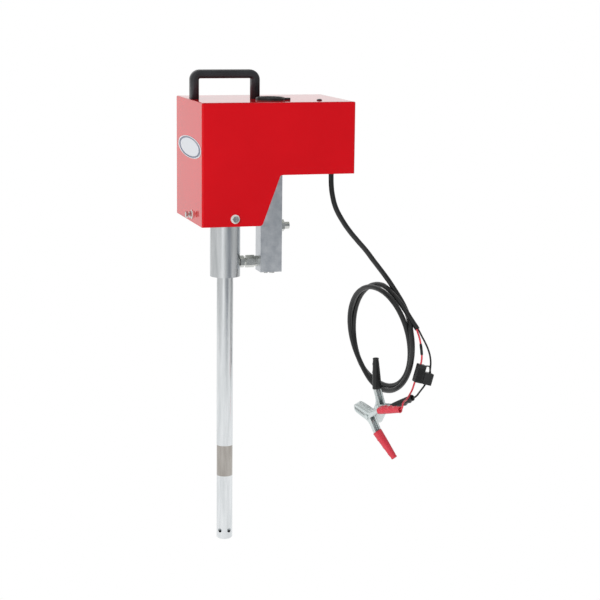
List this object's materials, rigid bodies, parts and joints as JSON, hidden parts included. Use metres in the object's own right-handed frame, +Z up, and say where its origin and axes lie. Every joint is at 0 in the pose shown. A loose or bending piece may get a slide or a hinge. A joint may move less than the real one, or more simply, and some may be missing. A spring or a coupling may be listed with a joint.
{
  "type": "electric grease pump",
  "caption": "Battery-driven drum grease pump: sheet-metal drive head with a carry handle, a plunger pump on a long suction tube, a relief block and a fused battery lead.",
  "frame": {"origin": "on the axis of the suction tube, in the flat underside of the pump body", "axes": "+Z up along the suction tube, +X towards the overhanging motor end, +Y towards the back, away from the pictured side"},
  "size_m": [0.4456, 0.2727, 0.869],
  "materials": {
    "paint_red": "gloss powder coat",
    "satin_black": "satin moulded",
    "rubber_black": "satin",
    "zinc": "zinc plated",
    "aluminium": "machined",
    "dark_steel": "blackened and oiled",
    "brass_gold": "turned",
    "pvc_red": "soft sleeve",
    "nylon_white": "satin"
  },
  "bodies": {
    "frame": {"cover": "paint_red", "chassis_plate": "zinc", "carry_handle": "satin_black", "handle_screws": "zinc", "cover_screws": "zinc", "cover_washers": "nylon_white", "top_screw": "dark_steel", "service_plug": "rubber_black", "cable_grommet": "rubber_black", "thermal_breaker": "satin_black", "inner_leads": "pvc_red", "motor_can": "dark_steel", "motor_end_cap": "satin_black", "gearbox_housing": "aluminium", "gearbox_cover": "aluminium", "drive_bracket": "zinc", "frame_screws": "dark_steel", "crank_bearing": "brass_gold", "pump_body": "aluminium", "rod_seal": "nylon_white", "gland_nut": "brass_gold", "suction_tube": "aluminium", "lock_collar": "zinc", "pump_cylinder": "dark_steel", "valve_barrel": "aluminium", "foot_valve": "aluminium", "control_block": "aluminium", "block_plugs": "zinc", "relief_spring": "zinc", "outlet_nipple": "zinc", "link_nipples": "zinc", "link_nut": "zinc", "supply_cable": "rubber_black", "cable_coil": "rubber_black", "cable_tail": "rubber_black", "red_lead_upper": "pvc_red", "red_lead_lower": "pvc_red", "black_lead": "rubber_black", "fuse_holder": "satin_black", "blade_fuse": "pvc_red", "clamp_fixed_levers": "zinc", "clamp_pins": "zinc", "clamp_springs": "dark_steel", "red_fixed_grip": "pvc_red", "black_fixed_grip": "rubber_black"},
    "crank": {"crank": "dark_steel", "crank_pin": "zinc"},
    "die": {"die_block": "brass_gold"},
    "plunger": {"yoke": "dark_steel", "piston_rod": "zinc", "piston": "dark_steel", "piston_seal": "nylon_white"},
    "discharge_valve": {"discharge_ball": "zinc"},
    "suction_valve": {"suction_ball": "zinc"},
    "relief_valve": {"relief_poppet": "dark_steel"},
    "red_jaw": {"red_moving_lever": "zinc", "red_moving_grip": "pvc_red"},
    "black_jaw": {"black_moving_lever": "zinc", "black_moving_grip": "rubber_black"},
    "fuse_lid": {"fuse_cap": "satin_black"}
  },
  "joints": [
    {"name": "crank_turn", "type": "hinge", "parent": "frame", "child": "crank", "pos_m": [0, 0, 0.2], "axis": [0, -1, 0], "range_deg": [-92, 92]},
    {"name": "die_turn", "type": "hinge", "parent": "crank", "child": "die", "pos_m": [0.0075, 0, 0.2], "axis": [0, -1, 0], "range_deg": [-92, 92]},
    {"name": "piston_slide", "type": "slide", "parent": "frame", "child": "plunger", "axis": [0, 0, 1], "range_m": [-0.0075, 0.0075]},
    {"name": "discharge_lift", "type": "slide", "parent": "plunger", "child": "discharge_valve", "axis": [0, 0, 1], "range_m": [0, 0.0025]},
    {"name": "suction_lift", "type": "slide", "parent": "frame", "child": "suction_valve", "axis": [0, 0, 1], "range_m": [0, 0.003]},
    {"name": "relief_open", "type": "slide", "parent": "frame", "child": "relief_valve", "axis": [0, 0, -1], "range_m": [0, 0.002], "stiffness_N_per_m": 3000, "springref_m": -0.002, "deforming": ["relief_spring"]},
    {"name": "red_clamp_open", "type": "hinge", "parent": "frame", "child": "red_jaw", "pos_m": [0.258, -0.074, -0.2585], "axis": [-0.8717, -0.4009, -0.2817], "range_deg": [0, 35], "stiffness_Nm_per_rad": 1, "springref_deg": -17.19},
    {"name": "black_clamp_open", "type": "hinge", "parent": "frame", "child": "black_jaw", "pos_m": [0.2908, -0.0438, -0.2528], "axis": [0.9281, 0.3723, -0.0041], "range_deg": [0, 35], "stiffness_Nm_per_rad": 1, "springref_deg": -17.19},
    {"name": "fuse_lid_pull", "type": "slide", "parent": "frame", "child": "fuse_lid", "axis": [0.9636, 0, -0.2672], "range_m": [0, 0.014]}
  ],
  "couplings": [
    {"joint": "crank_turn", "follows": "piston_slide", "rad_per_m": 209.44},
    {"joint": "die_turn", "follows": "piston_slide", "rad_per_m": -209.44}
  ]
}
